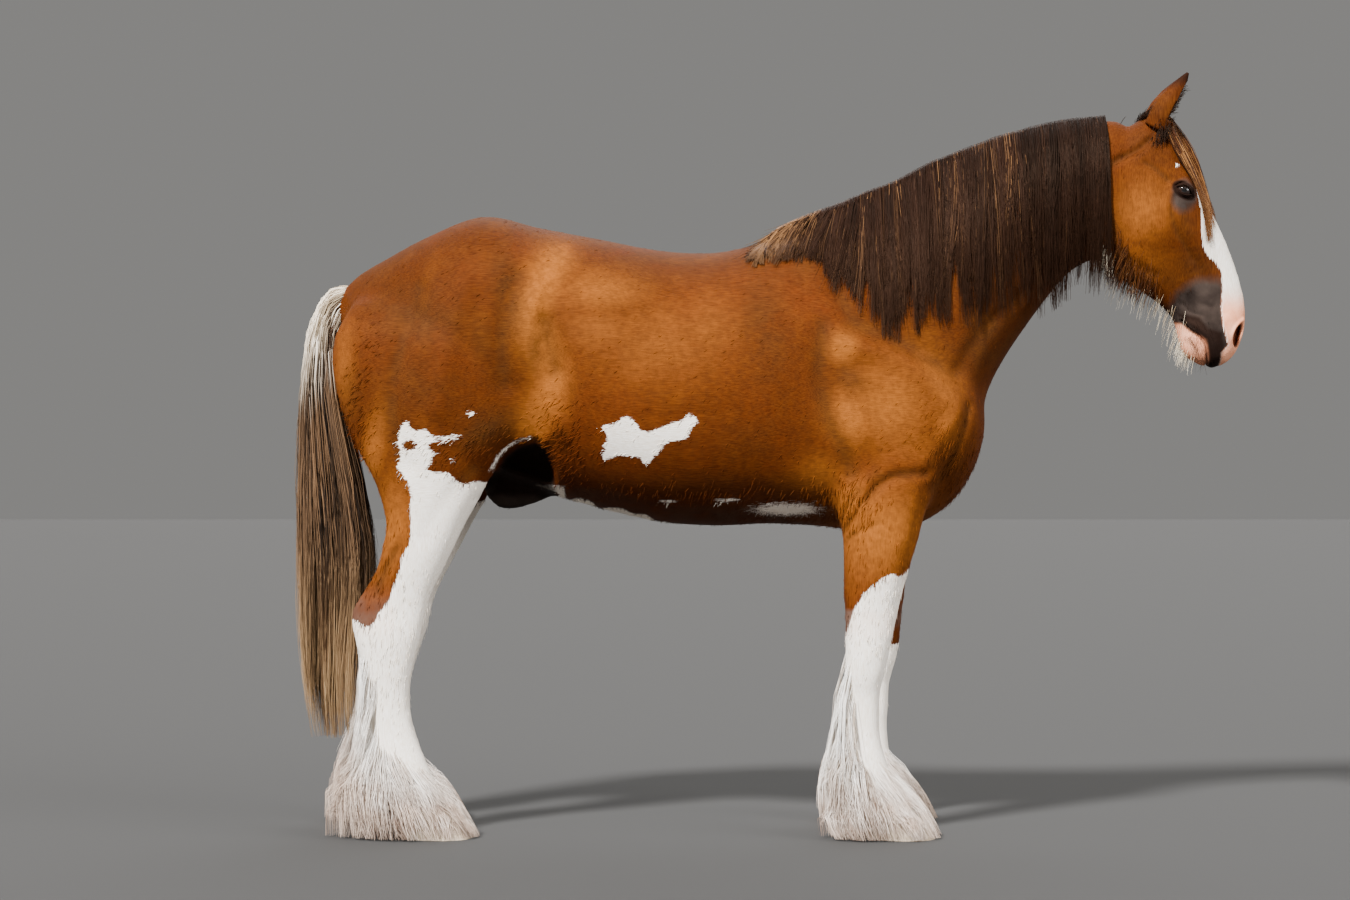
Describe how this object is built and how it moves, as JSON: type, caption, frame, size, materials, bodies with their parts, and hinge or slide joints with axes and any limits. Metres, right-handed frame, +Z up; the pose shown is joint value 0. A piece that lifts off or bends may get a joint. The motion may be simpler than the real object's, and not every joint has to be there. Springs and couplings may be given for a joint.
{
  "type": "clydesdale horse",
  "caption": "Still, life-size model of a standing bay draught horse with white feathered legs, a long mane on its right side and a full tail.",
  "frame": {"origin": "on the ground, under the middle of the horse's length and width", "axes": "+X from tail to head, +Y to the horse's left side, +Z up"},
  "size_m": [2.7722, 0.704, 2.1978],
  "materials": {
    "coat": "short glossy bay hair, lying flat",
    "tail_hair": "long dark brown hair, blond at its root",
    "feather": "long silky white hair",
    "hoof": "pale striped horn",
    "eye": "wet dark brown"
  },
  "bodies": {
    "root": {"torso": "coat", "neck": "coat", "head": "coat", "ear_left": "coat", "ear_right": "coat", "eye_left": "eye", "eye_right": "eye", "tail": "tail_hair", "fore_left_upper": "coat", "fore_left_lower": "feather", "fore_left_hoof": "hoof", "fore_right_upper": "coat", "fore_right_lower": "feather", "fore_right_hoof": "hoof", "hind_left_upper": "coat", "hind_left_lower": "feather", "hind_left_hoof": "hoof", "hind_right_upper": "coat", "hind_right_lower": "feather", "hind_right_hoof": "hoof"}
  },
  "joints": []
}
